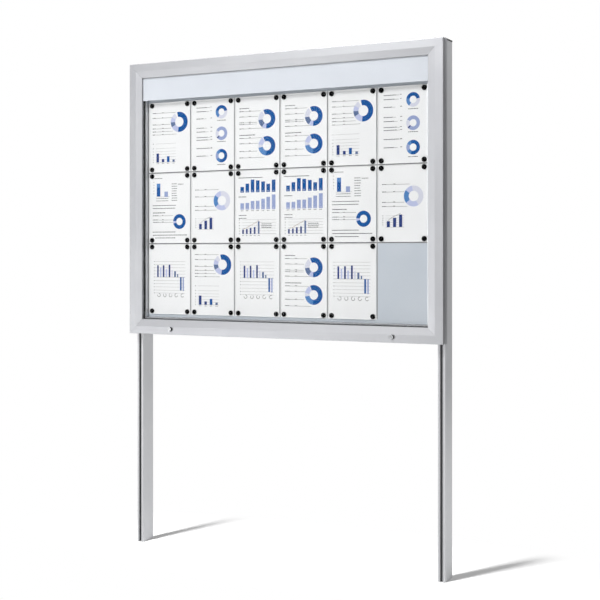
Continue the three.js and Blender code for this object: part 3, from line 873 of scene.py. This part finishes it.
def barPanels():
    lefts = np.array([25.7, 50, 74.7, 99, 124, 148, 173])
    feet = np.array([34, 52, 70, 89, 108])
    grid = [203, 215, 227, 238, 249]
    return [
        words(31, 17, 129, 211, 2.8),
        bars(lefts, 91 - np.array([23, 36, 52, 48, 43, 33, 49]), 16.8, 91, "blue"),
        *wordList(86, lefts + 3, lefts + 13, 215, 1.6, "pale", 4),
        words(109, 17, 53, 225, 2.8),
        bars(lefts, 161 - np.array([26, 27, 34.6, 35, 42.5, 50, 59]), 16.8, 161, "mauve"),
        *wordList(156, lefts + 3, lefts + 13, 230, 1.6, "pale", 4),
        *wordList(166, lefts + 2, lefts + 14, 240, 2.2),
        words(185, 18, 54, 250, 2.8, "bold"),
        words(197, 18, 54, 251, 2.4),
        rules(grid, 34, 192, "grid", 0.9),
        rules(261, 34, 192, "line", 1.0),
        *axisLabels([*grid, 260], 19, 255),
        bars(feet[:4], [243, 241, 236, 233], 8, 261, "navy"),
        bars(feet[4], 210, 8, 261, "slate"),
        stroke([(38, 241), (56, 236), (72, 227), (100, 214), (112, 206)], 1.3, "trend"),
        *wordList([221, 229, 236], 125, 172, 262, 2.6),
        *wordList(268, feet, feet + 9, 266, 1.8),
    ]


def plusMinus():
    above, below = [74, 87, 100, 114, 127], [155, 168, 182, 196, 208]
    marks = [
        rules(above + below, 32, 183, "grid", 0.9),
        rules(140, 32, 183, "text", 1.1, 1),
        *axisLabels([*above, 140, *below], 24, 271),
        bars([41, 70, 100], [90, 90, 87], 8, 140, "navy"),
        bars([55, 84], [100, 107], 7.5, 140, "lavender"),
        bars(113.5, 110, 7, 140, "pale"),
        bars([127.5, 142], [115, 127], [9, 6], 140, "slate"),
        bars(157, 196, 8, 140, "blue"),
        bars(170, 198, 6.5, 140, "mauve"),
    ]
    for i, left in enumerate((50, 80, 109, 138, 169)):
        marks += ringChart((left, 217), 8, 6.2, 30 * i, [("line", 30 * i + 280)])
    return marks


chartPlan = [
    [ringAndBars, threeRings, twoRings, twoRings, ringAndBars, threeRings],
    [stackedBar, paleRing, barPanels, barPanels, stackedBar, paleRing],
    [plusMinus, ringAndBars, plusMinus, twoRings, plusMinus],
]


def edgeSteps(length, count):
    # shares of a length, close together in the lifted bands at both ends and even between them
    band, steps = sheet["liftBand"] / length, sheet["bandSteps"]
    ends = np.linspace(0, band, steps + 1)[:-1]
    return np.concatenate([ends, np.linspace(band, 1 - band, count - 2 * steps), 1 - ends[::-1]])


def paperGrid(low, high, back, seed):
    # flat in the middle; within the band, each edge comes forward by its seeded amount, times the square of
    # how near it is, times a smooth rise from each corner
    chance = np.random.default_rng(seed)
    width, height = high.x - low.x, high.z - low.z
    u, v = np.meshgrid(edgeSteps(width, sheet["columns"]), edgeSteps(height, sheet["rows"]))
    x, z = low.x + u * width, low.z + v * height
    amounts = chance.uniform(*sheet["liftShare"], 4) * sheet["lift"]
    rises = [np.clip(np.minimum(share, 1 - share) / sheet["liftRise"], 0, 1) for share in (v, v, u, u)]
    gaps = [x - low.x, high.x - x, z - low.z, high.z - z]
    lift = sum(
        amount * (rise ** 2 * (3 - 2 * rise)) * np.clip(1 - gap / sheet["liftBand"], 0, 1) ** 2
        for amount, rise, gap in zip(amounts, rises, gaps)
    )
    return np.stack([x, back - lift, z], axis=-1)


def makePaper(name, low, high, back, seed):
    behind = paperGrid(low, high, back, seed)
    front = behind - np.array([0, sheet["thickness"], 0])
    frontRim = np.concatenate([front[0, :], front[1:, -1], front[-1, -2::-1], front[-2:0:-1, 0]])
    backRim = frontRim + np.array([0, sheet["thickness"], 0])
    surfaces = [(front, False, 0), (behind, False, 0), (np.stack([frontRim, backRim]), True, 0)]
    return makeMesh(name, surfaces, ["paper"])


def makePrint(name, marks, low, high, front):
    # marks: (corners, ink, layer); each layer lies a step further forward, its ink a colour attribute
    parts, colors = [], []
    for quads, ink, layer in marks:
        x = low.x + quads[..., 0] * mm
        z = high.z - quads[..., 1] * mm
        y = np.full_like(x, front - sheet["inkOffset"] - layer * sheet["inkStep"])
        corners = np.stack([x, y, z], axis=-1).reshape(-1, 3)
        parts.append((corners, np.arange(len(corners)).reshape(-1, 4)))
        colors.append(np.tile(linear(*inks[ink]), (len(corners), 1)))
    mesh = newMesh(name, parts, ["ink"])
    attribute = mesh.attributes.new("ink", "FLOAT_COLOR", "POINT")
    attribute.data.foreach_set("color", np.concatenate(colors).astype(np.float32).ravel())
    return mesh


def makeMagnets(name, low, high, back, front):
    # discs with a rounded rim; inside it the face rises to the dome by 1 less its share of the radius squared
    rim, radius, dome = magnet["rim"], magnet["radius"], magnet["dome"]
    profile = np.concatenate([
        [(0, back), (radius, back)],
        arc(radius - rim, front + rim, rim, 0, -90, magnet["rimSteps"]),
        [((radius - rim) * share, front - dome * (1 - share ** 2)) for share in magnet["domeRings"]],
    ])
    surfaces = []
    for x in (low.x + magnet["fromSide"], high.x - magnet["fromSide"]):
        for z in (low.z + magnet["fromEnd"], high.z - magnet["fromEnd"]):
            surfaces.append(turned(profile, (x, 0, z), "y", magnet["segments"]))
    return makeMesh(name, surfaces, ["magnetPlastic"])


def addNotices():
    for index, node in enumerate(sheetNodes):
        label = node.replace("notice_", "")
        row, column = (int(number) - 1 for number in label.replace("row", "").split("_"))
        low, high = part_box(node)
        front = high.y - sheet["thickness"]
        paper = makePaper(f"sheet_{label}", low, high, high.y, sheet["firstSeed"] + index)
        printMesh = makePrint(f"print_{label}", chartPlan[row][column](), low, high, front)
        magnets = makeMagnets(f"magnets_{label}", low, high, front, low.y + magnet["dome"])
        for mesh in (paper, printMesh, magnets):
            addPiece(mesh, "case", node)


addNotices()
print("notices done:", len(sheetNodes))


# locks: a turned body with a rounded rim, and a plug with a real keyway

lock = {
    "rim": 1.2 * mm,
    "rimSteps": (6, 4),  # on its face and on its side
    "faceRecess": 0.7 * mm,
    "faceRadius": 7.2 * mm,
    "faceFlank": 0.5 * mm,  # from the flat face out to its rim
    "faceLip": (0.25 * mm, 0.15 * mm),  # width and depth of the rim's inner edge
    "boreRadius": 5.45 * mm,
    "boreEdge": 0.3 * mm,
    "headRadius": 9.5 * mm,
    "headEdge": 0.4 * mm,
    "headGap": 0.05 * mm,  # between the head and the door
    "barrelRadius": 8 * mm,
    "plugRadius": 5.2 * mm,
    "plugRim": 0.35 * mm,
    "keyway": (0.8 * mm, 3.2 * mm, 6 * mm),  # half its width and height, and its depth
    "keywayEdge": 0.25 * mm,
    "keywayFlare": (1.25, 1.06),  # of its width and height at the plug's face
    "leastSlope": 1e-9,  # keeps a ray along a wall from dividing by nothing
    "segments": 96,
    "sharpBody": 40,
    "sharpPlug": 30,
}


def makeLockBody(name, low, high, centre):
    # head with a rounded rim and a shallow dish, barrel behind it, bored through
    front, back, rim, headBack = low.y, high.y, lock["rim"], doorFront - lock["headGap"]
    head, barrel, bore = lock["headRadius"], lock["barrelRadius"], lock["boreRadius"]
    dish, edge, headEdge = lock["faceRadius"], lock["boreEdge"], lock["headEdge"]
    face = front + lock["faceRecess"]
    lipWidth, lipDepth = lock["faceLip"]
    faceProfile = np.concatenate([
        [(bore, face + edge), (bore + edge, face), (dish - lock["faceFlank"], face)],
        [(dish, front + lipDepth), (dish + lipWidth, front)],
        arc(head - rim, front + rim, rim, -90, -30, lock["rimSteps"][0]),
    ])
    # the head's side takes the near black finish, as painted shade
    collarProfile = np.concatenate([
        arc(head - rim, front + rim, rim, -30, 0, lock["rimSteps"][1]),
        [(head, headBack - headEdge), (head - headEdge, headBack), (barrel, headBack)],
    ])
    barrelProfile = [(barrel, headBack), (barrel, back), (bore, back), (bore, face + edge)]
    profiles = [(faceProfile, 0), (collarProfile, 1), (barrelProfile, 0)]
    surfaces = [turned(profile, centre, "y", lock["segments"], index) for profile, index in profiles]
    return makeMesh(name, surfaces, ["lockMetal", "lockCollar"], lock["sharpBody"])


def makeLockPlug(name, low, high, centre):
    # face: straight blend from the keyway's outline to the round rim; keyway walls go straight in to a floor;
    # a ray at each angle meets the keyway's outline at the nearer of its two pairs of walls
    halfWidth, halfHeight, depth = lock["keyway"]
    corner = math.atan2(halfHeight, halfWidth)
    turns = [-corner, corner, math.pi - corner, math.pi + corner, 2 * math.pi - corner]
    perWall = lock["segments"] // 4
    angle = np.concatenate([np.linspace(a, b, perWall, endpoint=False) for a, b in zip(turns, turns[1:])])
    circle = np.stack([np.cos(angle), np.sin(angle)])
    walls = np.array([[halfWidth], [halfHeight]])
    keyway = np.min(walls / np.maximum(np.abs(circle), lock["leastSlope"]), axis=0) * circle
    flare = np.array(lock["keywayFlare"])[:, None]
    radius, rim, front, back = lock["plugRadius"], lock["plugRim"], low.y, high.y
    rows = [
        (keyway * 0, front + depth),
        (keyway, front + depth),
        (keyway, front + lock["keywayEdge"]),
        (keyway * flare, front),
        (circle * (radius - rim), front),
        (circle * radius, front + rim),
        (circle * radius, back),
        (circle * 0, back),
    ]
    grid = np.stack([np.stack([centre[0] + x, np.full_like(x, y), centre[2] + z], -1) for (x, z), y in rows])
    surfaces = [(grid[:3], True, 1), (grid[2:], True, 0)]
    return makeMesh(name, surfaces, ["lockMetal", "keyway"], lock["sharpPlug"])


def addLocks():
    for side in sides:
        centre = middleOf(*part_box(f"lock_{side}_body"))
        for part, body, make in (("body", "door", makeLockBody), ("plug", f"{side}_lock", makeLockPlug)):
            node = f"lock_{side}_{part}"
            addPiece(make(f"lock_{part}_{side}", *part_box(node), centre), body, node)


addLocks()
print("locks done")


# post caps: a moulded lid with rounded corners and a soft top edge

cap = {
    "corner": 2.2 * mm,
    "leastCorner": 0.4 * mm,
    "edge": 1.6 * mm,
    "perCorner": 7,
    "edgeSteps": 6,
    "gap": 0.1 * mm,  # between the lid and the post
    "sharpAngle": 50,
}


def roundedLoop(low, high, inwards):
    # the lid's outline drawn inwards: a rectangle in X and Y with quarter circles at its corners
    corner = max(cap["corner"] - inwards, cap["leastCorner"])
    lowX, highX = low.x + inwards + corner, high.x - inwards - corner
    lowY, highY = low.y + inwards + corner, high.y - inwards - corner
    turns = [(highX, highY, 0), (lowX, highY, 90), (lowX, lowY, 180), (highX, lowY, 270)]
    return np.concatenate([arc(x, y, corner, start, start + 90, cap["perCorner"]) for x, y, start in turns])


def makeCap(name, low, high, lidBottom):
    # loops stacked from the lid's under edge to its top, drawn in by a quarter circle at the top edge,
    # between a point in the middle of each end
    angle = np.linspace(0, math.pi / 2, cap["edgeSteps"])
    inset = np.concatenate([[0], cap["edge"] * (1 - np.cos(angle))])
    height = np.concatenate([[lidBottom], high.z - cap["edge"] + cap["edge"] * np.sin(angle)])
    loops = [roundedLoop(low, high, inwards) for inwards in inset]
    pole = np.tile(middleOf(low, high)[:2], (len(loops[0]), 1))
    layers = zip([pole, *loops, pole], [lidBottom, *height, high.z])
    grid = np.stack([np.column_stack([loop, np.full(len(loop), z)]) for loop, z in layers])
    return makeMesh(name, [(grid, True, 0)], ["capPlastic"], cap["sharpAngle"])


def addCaps():
    for side in sides:
        low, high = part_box(f"post_{side}_cap")
        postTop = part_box(f"post_{side}")[1].z
        mesh = makeCap(f"cap_{side}", low, high, postTop + cap["gap"])
        addPiece(mesh, "case", f"post_{side}_cap")


addCaps()
print("caps done")


# gas struts: a tube with a rolled top, and a rod with a ferrule below its eye; each has an eye at its end

strut = {
    "eyeWidth": 8 * mm,
    "eyeRadius": 7.5 * mm,
    "eyeHole": 3.3 * mm,
    "eyeEdge": 1.0 * mm,
    "eyeSteps": 6,
    "neckRadius": 3.8 * mm,
    "neckStart": 4.5 * mm,  # above the lower pivot
    "tubeStart": 16 * mm,  # above the lower pivot
    "tubeFloor": 3 * mm,
    "tubeRadius": 7.5 * mm,
    "boreRadius": 6 * mm,
    "guide": 4 * mm,
    "guideDrop": 0.4 * mm,  # below the rolled edge
    "rodRadius": 3 * mm,
    "rodGap": 0.3 * mm,
    "rodEyeRadius": 6 * mm,
    "studEnd": 4.7 * mm,  # from the eye's middle
    "pistonRadius": 5.7 * mm,
    "pistonLength": 8 * mm,
    "ferruleRadius": 4.2 * mm,
    "ferruleEdge": 0.6 * mm,
    "ferrule": (11 * mm, 4 * mm),  # its lower and upper ends below the upper pivot
    "shoulder": 3 * mm,
    "shoulderSteps": 8,
    "rolledEdge": 1.4 * mm,
    "rolledSteps": 7,
    "segments": 48,
}


def eyeProfile(radius, side):
    # outline of an eye's rim between its two faces, rounded at both edges
    half, edge, steps = strut["eyeWidth"] / 2, strut["eyeEdge"], strut["eyeSteps"]
    outline = np.concatenate([
        arc(radius - edge, -half + edge, edge, -90, 0, steps),
        arc(radius - edge, half - edge, edge, 0, 90, steps),
    ])
    return outline * [1, side]


def makeStrutTube(name, low, high, side):
    # an eye with a hole along X; above it a neck, a rounded shoulder, the tube, its rolled top and the bore
    centre = (*middleOf(low, high)[:2], low.z + strut["eyeRadius"])
    start, top, bore = centre[2] + strut["tubeStart"], high.z, strut["boreRadius"]
    floor, guide, neckStart = start + strut["tubeFloor"], top - strut["guide"], centre[2] + strut["neckStart"]
    hole, radius = strut["rodRadius"] + strut["rodGap"], strut["tubeRadius"]
    shoulder, rolled = strut["shoulder"], strut["rolledEdge"]
    recess, neck = top - strut["guideDrop"], strut["neckRadius"]
    profile = np.concatenate([
        [(0, floor), (bore, floor), (bore, guide), (hole, guide)],
        [(hole, recess), (radius - rolled, recess), (radius - rolled, top)],
        arc(radius - rolled, top - rolled, rolled, 90, 0, strut["rolledSteps"]),
        arc(radius - shoulder, start + shoulder, shoulder, 0, -90, strut["shoulderSteps"]),
        [(neck, start), (neck, neckStart), (0, neckStart)],
    ])
    rim = eyeProfile(strut["eyeRadius"], side)
    half = strut["eyeWidth"] / 2
    ring = np.concatenate([rim, [(strut["eyeHole"], half * side), (strut["eyeHole"], -half * side)], rim[:1]])
    eye = turned(ring + [0, centre[0]], centre, "x", strut["segments"])
    return makeMesh(name, [turned(profile, centre, "z", strut["segments"]), eye], ["strutPaint"])


def makeStrutRod(name, low, high, centreX, side):
    # piston, rod and ferrule along Z, then the eye; side is the way from it to the door's bracket, where its
    # stud goes
    centre = (centreX, middleOf(low, high)[1], high.z - strut["rodEyeRadius"])
    ferruleLow, ferruleHigh = (centre[2] - below for below in strut["ferrule"])
    radius, ferrule, edge = strut["rodRadius"], strut["ferruleRadius"], strut["ferruleEdge"]
    piston, pistonTop = strut["pistonRadius"], low.z + strut["pistonLength"]
    profile = [
        (0, low.z), (piston, low.z), (piston, pistonTop),
        (radius, pistonTop), (radius, ferruleLow), (0, ferruleLow),
    ]
    collar = [
        (0, ferruleLow), (ferrule - edge, ferruleLow), (ferrule, ferruleLow + edge),
        (ferrule, ferruleHigh), (0, ferruleHigh),
    ]
    half, end = strut["eyeWidth"] / 2, strut["studEnd"]
    eye = np.concatenate([
        [(0, -half * side)],
        eyeProfile(strut["rodEyeRadius"], side),
        [(radius, half * side), (radius, end * side), (0, end * side)],
    ])
    surfaces = [
        turned(profile, centre, "z", strut["segments"]),
        turned(collar, centre, "z", strut["segments"], 1),
        turned(eye + [0, centre[0]], centre, "x", strut["segments"], 1),
    ]
    return makeMesh(name, surfaces, ["lockMetal", "zinc"])


def addStruts():
    for side, inner in zip(sides, (1, -1)):
        tubeBox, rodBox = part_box(f"strut_{side}_tube"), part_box(f"strut_{side}_rod")
        tube = makeStrutTube(f"strut_tube_{side}", *tubeBox, inner)
        addPiece(tube, f"{side}_strut_tube", f"strut_{side}_tube")
        rod = makeStrutRod(f"strut_rod_{side}", *rodBox, middleOf(*tubeBox)[0], inner)
        addPiece(rod, f"{side}_strut_rod", f"strut_{side}_rod")


addStruts()
print("struts done")
